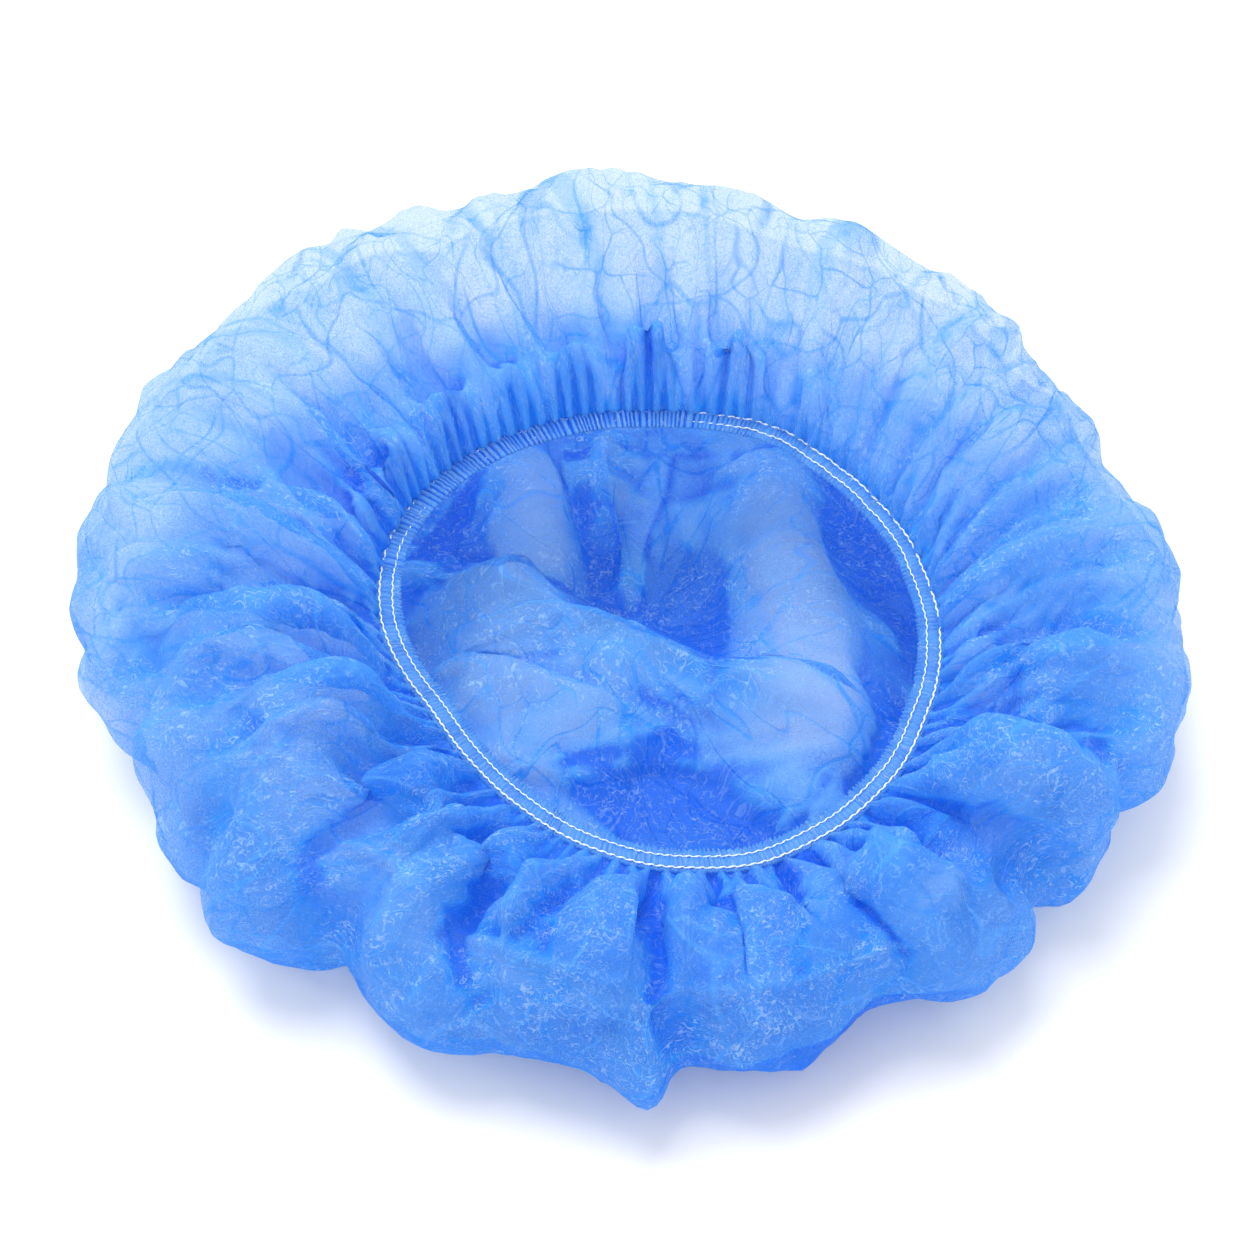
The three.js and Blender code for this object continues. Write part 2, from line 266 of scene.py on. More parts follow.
# The part of the way from rim to foot at each row, as a column. It is over 1 on the surface.
def wayDown(count, rows):
    return (np.arange(count) / (rows["rise"] + rows["shoulder"] + rows["underside"]))[:, None]


# The direction, along the way, of a line that turns from its place at the rim to that at the edge.
def lineAt(place, way):
    turned = unit(way / folding["turnOver"])
    return np.radians(place["atRim"] + (place["atEdge"] - place["atRim"]) * turned)


# How far inside a panel each place lies, in millimetres: the least distance from its sides' lines.
def insidePanel(panel, x, y):
    inside = np.full(x.shape, farAway)
    for (fromX, fromY), (toX, toY) in zip(panel, panel[1:] + panel[:1]):
        length = math.hypot(toX - fromX, toY - fromY)
        inside = np.minimum(inside, ((toY - fromY) * (x - fromX) - (toX - fromX) * (y - fromY)) / length)
    return inside


# How far the slack ridges lift the cloth that lies on the surface: the highest ridge round any of
# the table's lines, and a thin crease round each panel.
def floorLift(x, y):
    lift = 0 * x
    for r in rowsOf(ridgeColumns, ridges):
        alongX, alongY = r["toX"] - r["fromX"], r["toY"] - r["fromY"]
        length = math.hypot(alongX, alongY)
        offX, offY = x - r["fromX"], y - r["fromY"]
        share = unit((offX * alongX + offY * alongY) / length ** 2)
        away = np.hypot(offX - share * alongX, offY - share * alongY)
        left = offY * alongX - offX * alongY > 0
        width = np.where(left, r["leftWidth"], r["rightWidth"])
        taper = form["ridgeEnds"] + (1 - form["ridgeEnds"]) * np.sqrt(unit(4 * share * (1 - share)))
        side = np.clip(1.01 - np.sqrt((away / width) ** 2 + 0.0004), 0, None)
        lift = np.maximum(lift, r["height"] * taper * side)
    crease = 0 * x
    for row in panels:
        crease = np.maximum(crease, bell(insidePanel(row[:-1], x, y) / form["panelCreaseWidth"]))
    return lift + form["panelCrease"] * crease


# The smooth form: for each angle a cross-section of four stretches, of which the first three are
# quarters of ellipses (rim to crest, crest to belly, belly to foot) and the last lies flat. In
# front the first leaves the rim level instead, so that the cloth doesn't cover it.
def smoothForm(angle, rows):
    out = np.stack([np.cos(angle), np.sin(angle)])
    rim = rimLine(angle, form["startOutside"])
    belly = sectionAt("reach", angle) * out
    crest = rim[:2] + (belly - rim[:2]) * form["crestShare"]
    foot = belly * form["footShare"]
    corner = 0 * angle
    for c in rowsOf(cornerColumns, corners):
        corner += c["out"] * ridge(apart(angle, math.radians(c["angle"])) / math.radians(c["halfWidth"]))
    belly = belly + corner * out
    crestHeight, bellyHeight = sectionAt("crestHeight", angle), sectionAt("bellyHeight", angle)
    quarter = {k: np.linspace(0, math.pi / 2, n, endpoint=False)[:, None] for k, n in rows.items()}
    lines = []
    for key, start, end, low, high in (
        ("rise", crest, rim[:2], rim[2], crestHeight),
        ("shoulder", crest, belly, bellyHeight, crestHeight),
        ("underside", foot, belly, 0 * bellyHeight, bellyHeight),
    ):
        t = quarter[key]
        if key == "shoulder":
            share, height = np.sin(t), low + (high - low) * np.cos(t)
        elif key == "rise":
            s = t / (math.pi / 2)
            front = unit(0.5 - 0.9 * np.sin(angle))
            share = np.cos(t) + (1 - s - np.cos(t)) * front
            height = low + (high - low) * (np.sin(t) + (s * s * (3 - 2 * s) - np.sin(t)) * front)
        else:
            share, height = np.cos(t), high * (1 - np.sin(t))
        flat = start[:, None] + (end - start)[:, None] * share
        lines.append(np.concatenate([flat, height[None]]))
    t = np.linspace(0, 1, rows["floor"] + 1)[:, None]
    flat = foot[:, None] * (1 - t)
    lines.append(np.concatenate([flat, floorLift(*flat)[None]]))
    return np.concatenate(lines, axis=1)


# The length of each of a grid's vectors.
def lengths(vectors):
    return np.sqrt((vectors * vectors).sum(0))


# The distance from each point of a grid to the next in its row.
def acrossOf(grid):
    return lengths(np.roll(grid, -1, 2) - grid)


# Unit normals of a grid that closes round its columns: the cross product of its two differences.
def gridNormals(points):
    down = np.gradient(points, axis=1)
    across = np.roll(points, -1, 2) - np.roll(points, 1, 2)
    normal = np.cross(down, across, axis=0)
    return normal / (lengths(normal) + 1e-9)


# A grid blurred over its neighbours, a number of times.
def blurred(grid, times):
    for _ in range(times):
        grid = (np.roll(grid, 1, 2) + grid + np.roll(grid, -1, 2)) / 3
        grid[:, 1:-1] = (grid[:, :-2] + grid[:, 1:-1] + grid[:, 2:]) / 3
    return grid


# How high the ruffles stand at each angle.
def ruffleAt(angle):
    standing = 0 * angle
    for r in rowsOf(ruffleColumns, ruffles):
        away = apart(angle, math.radians(r["angle"])) / math.radians(r["halfWidth"])
        standing = np.maximum(standing, r["height"] * bump(away))
    return standing


# The form with its folds: each pushes the surface along its normal by a ridge of the distance from
# the fold's line, faded in and out along the way. A ruffle first carries the rising cloth up and
# out and then back by nearly as much, so that it lies over itself in three layers.
def foldedForm(angle, rows):
    points = smoothForm(angle, rows)
    normal = gridNormals(points)
    way = wayDown(points.shape[1], rows)
    radius = np.hypot(points[0], points[1])
    push, sideways = 0 * radius, 0 * radius
    deeper = np.interp(np.sin(angle), (-1, 0, 1), folding["share"])
    for f in rowsOf(foldColumns, folds):
        away = np.abs(apart(angle, lineAt(f, way))) * radius
        narrow = folding["widthAtRim"]
        width = f["halfWidth"] * (narrow + (1 - narrow) * unit(way / folding["wideAt"]))
        fade = unit((way - f["start"]) / folding["fadeOver"])
        fade = fade * unit((f["end"] - way) / folding["fadeOver"])
        lower = folding["lowerBy"] * unit((way - folding["lowerFrom"]) / folding["lowerOver"])
        crest = fade * (1 - lower) * deeper * ridge(away / width)
        push += f["height"] * crest
        sideways += f["lean"] * crest
    points = points + normal * push
    points[0] -= np.sin(angle) * sideways
    points[1] += np.cos(angle) * sideways
    rise = unit(np.arange(points.shape[1]) / rows["rise"])[:, None]
    turned = np.sin(turn * rise) * (1 - form["ruffleFade"] * rise) * ruffleAt(angle)
    lean = form["ruffleLean"]
    points += np.stack([lean * np.cos(angle) * turned, lean * np.sin(angle) * turned, turned])
    points[2] = np.maximum(points[2], 0)
    return points


# Moves each pair of points part of the way to its rest distance, each by half.
def hold(a, b, rest, share):
    gap = b - a
    length = lengths(gap) + 1e-6
    gap *= share * 0.5 * (1 - rest / length)
    a += gap
    b -= gap


# Value noise over the flat sheet: random numbers on a square grid, smoothly interpolated.
def sheetNoise(random, x, y, cell):
    half = int(crownGrid["flatRadius"] / cell) + 2
    grid = random.standard_normal((2 * half + 2, 2 * half + 2))
    i, j = np.floor(x / cell).astype(int), np.floor(y / cell).astype(int)
    f, g = x / cell - i, y / cell - j
    f, g, i, j = f * f * (3 - 2 * f), g * g * (3 - 2 * g), i + half, j + half
    low = grid[i, j] * (1 - f) + grid[i + 1, j] * f
    return low * (1 - g) + (grid[i, j + 1] * (1 - f) + grid[i + 1, j + 1] * f) * g


# How far each point is from the nearest fold's line, in millimetres.
def foldDistance(base, angle, rows):
    way = wayDown(base.shape[1], rows)
    nearest = np.full(base.shape[1:], farAway)
    for f in rowsOf(foldColumns, folds):
        away = np.abs(apart(angle, lineAt(f, way))) * np.hypot(base[0], base[1])
        covered = (way > f["start"]) & (way < f["end"])
        nearest = np.where(covered, np.minimum(nearest, away), nearest)
    return nearest


# How near each point of the flat sheet is to a crease: the distance to its second nearest random
# seed less that to its nearest, as a share of the facet size.
def creaseField(random, flatRadius, angle, cell):
    count = int(math.pi * crownGrid["flatRadius"] ** 2 / cell ** 2)
    seedRadius = crownGrid["flatRadius"] * np.sqrt(random.random(count))
    seedAngle = turn * random.random(count)
    seeds = np.stack([seedRadius * np.cos(seedAngle), seedRadius * np.sin(seedAngle)]).astype(np.float32)
    field = np.empty((len(flatRadius), len(angle)), np.float32)
    for i, radius in enumerate(flatRadius):
        x, y = radius * np.cos(angle), radius * np.sin(angle)
        away = (x[:, None] - seeds[0]) ** 2 + (y[:, None] - seeds[1]) ** 2
        nearest = np.sqrt(np.partition(away, 1, axis=1)[:, :2])
        field[i] = (nearest[:, 1] - nearest[:, 0]) / cell
    return field


relaxing = {
    "diagonals": 0.4,
    "limitEvery": 8,  # steps
    "bendAtCrease": 0.01, "bendBetween": 0.25, "creaseWidth": 0.25,  # of the facet size
    "reach": 0.6, "reachShare": 0.2, "lessInFront": 0.1, "mostReach": 11,  # from the form
}


# Relaxes a grid of cloth. Each step holds its links at their rest lengths, the diagonal ones more
# weakly and the ones two cells long as softly as the creases let the cloth bend, and then moves
# each point a share (pull) of the way to the base form. Now and then it brings back the points that
# are further from the base than their reach. Each set of links is split so that no point is in a
# set twice.
def relax(points, base, restAcross, restDown, soft, steps, pull, reach):
    columns = points.shape[2]
    restCross = np.sqrt(((restAcross[:-1] + restAcross[1:]) / 2) ** 2 + restDown ** 2)
    twoAcross = 2 * restAcross
    twoDown = restDown[:-1] + restDown[1:]
    count, diagonals = points.shape[1], relaxing["diagonals"]
    for step in range(steps):
        for k in (0, 1):
            hold(points[:, k:-1:2], points[:, k + 1::2], restDown[k::2], 1)
        hold(points[:, :, 0::2], points[:, :, 1::2], restAcross[:, 0::2], 1)
        hold(points[:, :, 1:-1:2], points[:, :, 2::2], restAcross[:, 1:-1:2], 1)
        hold(points[:, :, -1:], points[:, :, :1], restAcross[:, -1:], 1)
        for k in (0, 1):
            top, low, rest = points[:, k:-1:2], points[:, k + 1::2], restCross[k::2]
            hold(top[:, :, :-1], low[:, :, 1:], rest[:, :-1], diagonals)
            hold(top[:, :, -1:], low[:, :, :1], rest[:, -1:], diagonals)
            hold(top[:, :, 1:], low[:, :, :-1], rest[:, 1:], diagonals)
            hold(top[:, :, :1], low[:, :, -1:], rest[:, :1], diagonals)
        for k in range(4):
            hold(points[:, k:count - 2:4], points[:, k + 2::4], twoDown[k::4], soft[k + 1:count - 1:4])
            if k < 2:
                for s in (k, k + 2):
                    first, second = points[:, :, s::4], np.roll(points, -2, 2)[:, :, s::4]
                    before = second.copy()
                    hold(first, second, twoAcross[:, s::4], soft[:, s::4])
                    target = (np.arange(s, columns, 4) + 2) % columns
                    points[:, :, target] += second - before
        points += (base - points) * pull
        if (step + 1) % relaxing["limitEvery"] == 0:
            drift = points - base
            far = lengths(drift) + 1e-6
            points[:] = base + drift * np.minimum(1, reach / far)
        points[2] = np.maximum(points[2], form["clearance"])
        points[:, 0] = base[:, 0]
        points[:, -1] = points[:, -1].mean(1, keepdims=True)
    return points


# Doubles a grid's rows and columns by taking the middles of its links.
def refine(points):
    fine = np.empty((3, points.shape[1] * 2 - 1, points.shape[2] * 2), points.dtype)
    wide = np.empty((3, points.shape[1], points.shape[2] * 2), points.dtype)
    wide[:, :, 0::2] = points
    wide[:, :, 1::2] = (points + np.roll(points, -1, 2)) / 2
    fine[:, 0::2] = wide
    fine[:, 1::2] = (wide[:, :-1] + wide[:, 1:]) / 2
    return fine


# Height of the packing creases at each place of the flat sheet: a sum of triangle waves in random
# directions, each bent a little and fading in and out over the sheet.
def creaseHeight(random, x, y):
    height = 0 * x
    for c in rowsOf(creaseColumns, creases):
        for _ in range(c["directions"]):
            direction, phase = turn * random.random(), random.random()
            bend = 0.16 * sheetNoise(random, x, y, 1.6 * c["spacing"])
            wave = (x * math.cos(direction) + y * math.sin(direction)) / c["spacing"] + phase + bend
            patch = np.clip(0.4 + 0.9 * sheetNoise(random, x, y, 2.2 * c["spacing"]), 0, 1.3)
            height += c["height"] * patch * (4 * np.abs(wave % 1 - 0.5) - 1)
    return height


# Height of the pleats at each distance from the stitching: rounded tops with sharp valleys, the
# fine ones running out first.
def pleatHeight(random, angle, away, x, y):
    height, slack = 0 * away, sectionAt("slack", angle)
    for p in rowsOf(pleatColumns, pleats):
        cell = 4 * turn * crownGrid["flatRadius"] / p["count"]
        wander, size = (sheetNoise(random, x, y, cell) for _ in range(2))
        wave = 2 * np.abs(np.sin(p["count"] / 2 * angle + wander * p["wander"])) - 1.25
        near = np.clip(away / (0.3 * p["fadeOut"]), p["atRim"], 1)
        fade = unit(1.4 * np.exp(-((away / p["fadeOut"]) ** 1.5)))
        size = np.clip(1 + p["uneven"] * size, 0.1, 2) * slack ** p["bySlack"]
        height += p["height"] * wave * size * near * fade
    return height


# Sizes of relief, fine to coarse: blurring steps that leave out each, and the height of its ridges.
reliefSizes = [(3, 0.35), (50, 1.4), (200, 3.5)]


# How far each place stands out from the cloth round it, from -1 in valleys to 1 on ridges, seen
# from the side that shows: the sum, over the sizes of relief, of the distance along the normal from
# the grid to a more blurred one.
def reliefOf(points, rows):
    normal, finer, relief = gridNormals(points), points, 0
    for times, height in reliefSizes:
        coarser = blurred(finer, times)
        relief = relief + ((finer - coarser) * normal).sum(0) / height
        finer = coarser
    shows = np.where(np.arange(points.shape[1]) < rows["rise"] + rows["shoulder"], 1, -1)
    return np.tanh(relief * shows[:, None])


# How many layers the laps and folds add: even strips for laps, most along the line of a valley, and
# a strip on the side to which a fold's crest leans; these valley lines and leaning strips are partly
# doubled cloth and partly painted shade. Folds behind add little.
def lappedLayers(way, angle, radius, wander):
    lapped = 0 * wander
    for lap in rowsOf(lapColumns, laps):
        away = np.abs(apart(angle, lineAt(lap, way)) * radius + wander)
        fade = unit((way - lap["start"]) / 0.2) * unit((lap["end"] - way) / 0.1)
        width = lap["halfWidth"] * (0.4 + 0.6 * way / folding["turnOver"])
        lapped = np.maximum(lapped, lap["layers"] * fade * unit((width - away) / 0.9 + 0.5))
    for f in rowsOf(foldColumns, folds):
        signed = apart(angle, lineAt(f, way)) * radius + 0.7 * wander
        fade = unit((way - f["start"]) / 0.1) * unit((min(f["end"], 0.72) - way) / 0.12)
        # Darker along a valley and on the side a crest leans to: partly doubled cloth, partly painted shade.
        if f["height"] < 0:
            strip = -0.12 * f["height"] * bell(signed / (0.3 * f["halfWidth"]))
        else:
            signed = signed * (1 if f["lean"] >= 0 else -1)
            strip = unit(signed / 0.9) * unit((0.5 * f["halfWidth"] - signed) / 5)
            strip = strip * 0.12 * f["height"]
        lapped = np.maximum(lapped, strip * fade * np.clip(0.45 - 0.8 * np.sin(angle), 0.15, 1))
    return lapped


# The layers that the tables give: from rim to crest, belly and foot, and then over the surface,
# where fewer lie outside the opening.
def tableLayers(base, angle, rows):
    rise = rows["rise"]
    stops = np.cumsum([0, 0.85 * rise, 0.15 * rise + rows["shoulder"], rows["underside"], 10])
    values = [sectionAt("layers" + key, angle) for key in ("Rim", "Crest", "Belly", "Belly")]
    values.append(layering["floor"] * (1.15 - 0.3 * np.sin(angle)))
    row = np.arange(base.shape[1])[:, None]
    table = values[0] + 0 * row
    for k in range(4):
        share = unit((row - stops[k]) / (stops[k + 1] - stops[k]))
        table = table + (values[k + 1] - values[k]) * share
    out = np.hypot(base[0] - form["rimOffset"][0], base[1] - form["rimOffset"][1])
    out -= sectionAt("rimRadius", angle) + layering["beyond"] + layering["behind"] * unit(np.sin(angle))
    out = unit(out / layering["over"]) * (wayDown(base.shape[1], rows) > 1)
    return table + (layering["outside"] - table) * out


# How large each cell of a grid is: one side's length times the other's.
def cellArea(grid):
    return acrossOf(grid) * lengths(np.diff(grid, axis=1, append=grid[:, -2:-1]))


# How many layers of cloth each place holds: the tables' values, clouded and stepped to whole layers,
# then the panels inside the opening, each with a doubled border. More lie where the cloth is
# bunched, and the laps and folds add theirs. Some of the panels', laps' and folds' counts stand
# partly for painted light and shade.
def clothLayers(random, points, base, angle, rows, x, y):
    way = wayDown(points.shape[1], rows)
    wander = 2.2 * sheetNoise(random, x, y, 26) + 0.8 * sheetNoise(random, x, y, 9)
    lapped = lappedLayers(way, angle, np.hypot(base[0], base[1]), wander)
    table = tableLayers(base, angle, rows)
    cloud = 0.6 * sheetNoise(random, x, y, 45) + 0.35 * sheetNoise(random, x, y, 19)
    value = table + (0.12 + 0.4 * np.clip(table - 0.8, 0, 1.5)) * cloud
    part = unit((value % 1 - 0.5) / layering["stepWidth"] + 0.5)
    layers = (1 - layering["stepped"]) * value + layering["stepped"] * (np.floor(value) + part)
    # The panels' counts partly paint their facets paler and darker: painted light and shade.
    for row in panels:
        inside = insidePanel(row[:-1], base[0], base[1]) + 0.15 * wander
        share = unit(inside / 0.6 + 0.5) * (way > 1)
        layers = layers + (row[-1] + 0.3 * cloud + 1.4 * bell(inside / 1.3) - layers) * share
    bunched = cellArea(base) / np.maximum(cellArea(points), 1e-4)
    bunched = (bunched + np.roll(bunched, 1, 1) + np.roll(bunched, -1, 1)) / 3
    return np.clip(layers * np.clip(bunched, 0.8, 1.6) ** 0.5 + lapped, 0.7, layering["most"])


# The flat sheet's rings, from the stitching to the middle: as far apart as the form's rings are on
# average, scaled to the sheet's radius.
def flatRings(down):
    spacing = down.mean(1)
    spacing *= crownGrid["flatRadius"] / spacing.sum()
    return np.maximum(crownGrid["flatRadius"] - np.concatenate([[0], np.cumsum(spacing)]), 0)


# How hard each relaxing step pulls each place towards the form.
def pullField(angle, rows, count, level):
    pull = np.full((count, len(angle)), crownGrid["pull"][level], np.float32)
    pull[:pulling["rimRows"]] = pulling["atRim"]
    pull[: rows["rise"]] += pulling["perRuffle"] * ruffleAt(angle)
    pull += pulling["behind"] * unit(np.sin(angle)) + pulling["front"] * unit(-np.sin(angle))
    way = np.arange(count) / (count - rows["floor"])
    outline = np.minimum(way - pulling["outlineFrom"], pulling["outlineTo"] - way)
    pull += (pulling["outline"] * unit(outline / pulling["outlineOver"]))[:, None]
    pull[-rows["floor"]:] = pulling["surface"]
    return pull


# Finishes the relaxed cloth: the middle, where the grid is too fine to relax well, keeps to the
# form, all is smoothed lightly, and the packing creases are raised along the normals.
def creasedCloth(random, points, base, flatRadius, away, x, y):
    points += (base - points) * unit((middle["radius"] - flatRadius) / middle["fade"])[:, None]
    points[:, 1:-1] += 0.5 * (blurred(points, 1) - points)[:, 1:-1]
    height = creaseHeight(random, x, y) * unit((away - 4) / 20)
    normal = gridNormals(blurred(points, crownGrid["normalBlur"]))
    level = unit((middle["levelRadius"] - flatRadius) / middle["levelFade"])[:, None]
    normal += (np.array([0, 0, -1])[:, None, None] - normal) * level
    points += normal * (height * np.clip(points[2] / 3, 0.4, 1))
    points[2] = np.maximum(points[2], form["clearance"])
    points[:, -1] = points[:, -1].mean(1, keepdims=True)
    return points


# The crown's cloth, relaxed on three grids from coarse to fine. Its links are longer than the
# form's by the spare cloth and by the share of the gathered cloth that goes into wrinkles, and the
# pleats are added on the last grid. Gives the points, the columns' directions, the rings' flat
# radii and the places' values.
def crownCloth():
    random = np.random.default_rng(crownGrid["seed"])
    levels = crownGrid["levels"]
    points = None
    for level, steps in enumerate(levels):
        shrink = 2 ** (len(levels) - 1 - level)
        rows = {k: n // shrink for k, n in crownGrid["rows"].items()}
        angle = around(crownGrid["around"] // shrink)
        base = foldedForm(angle, rows).astype(np.float32)
        down, across = lengths(np.diff(base, axis=1)), acrossOf(base)
        flatRadius = flatRings(down)
        flatAcross = (turn * flatRadius / len(angle))[:, None]
        extra = np.maximum(flatAcross / np.maximum(across, 1e-3) - 1, 0.0)
        slack = sectionAt("slack", angle)
        extra = slack * crownGrid["gathered"] * (1 - np.exp(-extra / 0.5)) + crownGrid["spare"]
        restAcross = (across * (1 + extra)).astype(np.float32)
        restDown = (down * (1 + crownGrid["spare"])).astype(np.float32)
        points = base.copy() if points is None else refine(points)
        x, y = flatRadius[:, None] * np.cos(angle), flatRadius[:, None] * np.sin(angle)
        rough = sheetNoise(random, x, y, crownGrid["roughCell"] * shrink)
        points += gridNormals(points) * (rough * crownGrid["rough"][level])
        away = (crownGrid["flatRadius"] - flatRadius)[:, None] + 0 * angle
        if shrink == 1:
            smooth = base
            raised = pleatHeight(random, angle, away, x, y)
            base = base + gridNormals(blurred(base, crownGrid["normalBlur"])) * raised
            base = base.astype(np.float32)
            restAcross = np.maximum(restAcross, acrossOf(base))
        crease = creaseField(random, flatRadius, angle, crownGrid["creaseCells"][level])
        crease = np.minimum(crease, foldDistance(base, angle, rows) / crownGrid["foldFacet"])
        soft = relaxing["bendBetween"] * unit(crease / relaxing["creaseWidth"])
        soft = (relaxing["bendAtCrease"] + soft).astype(np.float32)
        pull = pullField(angle, rows, len(flatRadius), level)
        reach = relaxing["reachShare"] - relaxing["lessInFront"] * unit(-np.sin(angle))
        reach = np.clip(relaxing["reach"] + reach * away, 0, relaxing["mostReach"]).astype(np.float32)
        points = relax(points.astype(np.float32), base, restAcross, restDown, soft, steps, pull, reach)
        say(f"crown cloth, level {level}")
    points = creasedCloth(random, points, base, flatRadius, away, x, y)
    layers = clothLayers(random, points, smooth, angle, rows, x, y)
    rise = np.arange(len(flatRadius))[:, None] / rows["rise"]
    layers *= 1 + 0.07 * ruffleAt(angle) * unit((0.62 - rise) / 0.1)
    return points, angle, flatRadius, {"layers": layers, "relief": reliefOf(points, rows)}


# Makes a mesh object from a grid of points that closes round its columns. As a "ring", its first
# and last rows are joined too, and as a "pole", its last row is one point. uv is each point's place
# on the flat cloth, and values holds what its material reads.
def gridObject(name, points, ends, uv=None, values=None):
    rows, columns = points.shape[1:]
    flat = points.reshape(3, -1).T * mm
    i, j = np.meshgrid(np.arange(rows - (ends != "ring")), np.arange(columns), indexing="ij")
    nextRow, nextColumn = (i + 1) % rows, (j + 1) % columns
    quads = [i * columns + j, nextRow * columns + j]
    quads += [nextRow * columns + nextColumn, i * columns + nextColumn]
    quads = np.stack(quads, -1).reshape(-1, 4)
    if ends == "pole":
        pole = (rows - 1) * columns
        quads = np.minimum(quads, pole)
        flat = flat[: pole + 1]
        split = quads[:, 1] < pole
        fans = quads[~split][:, [0, 1, 3]]
        faces = quads[split]
        loops = np.concatenate([faces.ravel(), fans.ravel()])
        sizes = np.concatenate([np.full(len(faces), 4), np.full(len(fans), 3)])
    else:
        loops, sizes = quads.ravel(), np.full(len(quads), 4)
    mesh = bpy.data.meshes.new(name)
    mesh.vertices.add(len(flat))
    mesh.vertices.foreach_set("co", flat.ravel().astype(np.float32))
    mesh.loops.add(len(loops))
    mesh.loops.foreach_set("vertex_index", loops.astype(np.int32))
    mesh.polygons.add(len(sizes))
    starts = np.concatenate([[0], np.cumsum(sizes)[:-1]])
    mesh.polygons.foreach_set("loop_start", starts.astype(np.int32))
    mesh.polygons.foreach_set("loop_total", sizes.astype(np.int32))
    mesh.update(calc_edges=True)
    mesh.validate()
    if uv is not None:
        layer = mesh.uv_layers.new(name="flatCloth")
        layer.data.foreach_set("uv", uv.reshape(-1, 2)[loops].astype(np.float32).ravel())
    for key, value in (values or {}).items():
        kind, field = ("FLOAT_VECTOR", "vector") if value.ndim == 3 else ("FLOAT", "value")
        data = value.reshape(-1, rows * columns).T[: len(flat)]
        attribute = mesh.attributes.new(key, kind, "POINT")
        attribute.data.foreach_set(field, data.astype(np.float32).ravel())
    mesh.polygons.foreach_set("use_smooth", np.ones(len(sizes), bool))
    piece = bpy.data.objects.new(name, mesh)
    bpy.context.scene.collection.objects.link(piece)
    return piece


# Wraps an output socket, so that arithmetic on it adds Math nodes.
class Value:
    def __init__(self, paint, socket):
        self.paint, self.socket = paint, socket

    def math(self, operation, first, second=0.0):
        return self.paint.node("ShaderNodeMath", {"operation": operation}, {0: first, 1: second})

    def __add__(self, other):
        return self.math("ADD", self, other)

    def __sub__(self, other):
        return self.math("SUBTRACT", self, other)

    def __rsub__(self, other):
        return self.math("SUBTRACT", other, self)

    def __mul__(self, other):
        return self.math("MULTIPLY", self, other)

    def __pow__(self, other):
        return self.math("POWER", self, other)

    def __abs__(self):
        return self.math("ABSOLUTE", self)

    __radd__ = __add__
    __rmul__ = __mul__

    def ramp(self, low, high, start=0.0, end=1.0):
        settings = {"interpolation_type": "SMOOTHSTEP"}
        return self.paint.node("ShaderNodeMapRange", settings, {0: self, 1: low, 2: high, 3: start, 4: end})


# One material and its nodes.
class Paint:
    def __init__(self, name):
        self.material = bpy.data.materials.new(name)
        self.material.use_nodes = True
        self.tree = self.material.node_tree
        self.tree.nodes.clear()

    def node(self, kind, settings=None, inputs=None, output=0):
        made = self.tree.nodes.new(kind)
        for key, value in (settings or {}).items():
            setattr(made, key, value)
        for key, value in (inputs or {}).items():
            if isinstance(value, Value):
                self.tree.links.new(value.socket, made.inputs[key])
            else:
                made.inputs[key].default_value = value
        return Value(self, made.outputs[output])

    def attribute(self, name, output=2):
        return self.node("ShaderNodeAttribute", {"attribute_name": name}, {}, output)

    def noise(self, where, scale, detail=1.0, distortion=0.0, output=0, flat="3D"):
        inputs = {"Vector": where, "Scale": scale, "Detail": detail, "Distortion": distortion}
        return self.node("ShaderNodeTexNoise", {"noise_dimensions": flat}, inputs, output)

    def bump(self, height, strength, distance):
        inputs = {"Strength": strength, "Distance": distance, "Height": height}
        return self.node("ShaderNodeBump", {}, inputs)

    def surface(self, colour, roughness, bumped, specular=0.5):
        inputs = {"Base Color": colour, "Roughness": roughness, "Normal": bumped}
        return self.node("ShaderNodeBsdfPrincipled", {}, {**inputs, "Specular IOR Level": specular})

    def colours(self, factor, first, second):
        first, second = (c if isinstance(c, Value) else (*c, 1) for c in (first, second))
        return self.node("ShaderNodeMix", {"data_type": "RGBA"}, {0: factor, 6: first, 7: second}, 2)

    def finish(self, shader):
        output = self.tree.nodes.new("ShaderNodeOutputMaterial")
        self.tree.links.new(shader.socket, output.inputs[0])
        return self.material


clothLook = {
    "holes": (0.935, 0.955, 1.0),  # the tint of light that passes between the fibres
    "fibre": (0.03, 0.36, 0.965),
    # The deep colour also falls in valleys, and the lit colour on ridges, crinkles and curly strands:
    # painted shade and painted highlight.
    "deep": (0.003, 0.125, 0.79),  # where many layers lie over each other
    "deepFrom": 2.5, "deepAt": 7.4,  # layers
    "lit": (0.58, 0.85, 1.0),  # single fibres that catch the light
    "through": (0.03, 0.37, 0.975), "throughShare": 0.4,
    "coverage": 0.37,  # the share that one plain layer covers
    "roughness": 0.55, "specular": 0.3, "bumpStrength": 0.6, "bumpDistance": 0.0006,
}
# Patterns of the cloth, as scales over the flat sheet in metres.
clothPattern = {
    "warp": 45.0, "warpBy": 0.022,
    "patches": 32.0, "facets": 62.0, "largeFacets": 23.0, "crinkle": 210.0,
    "gathers": 75.0, "strands": 430.0, "fuzz": 1500.0,
}
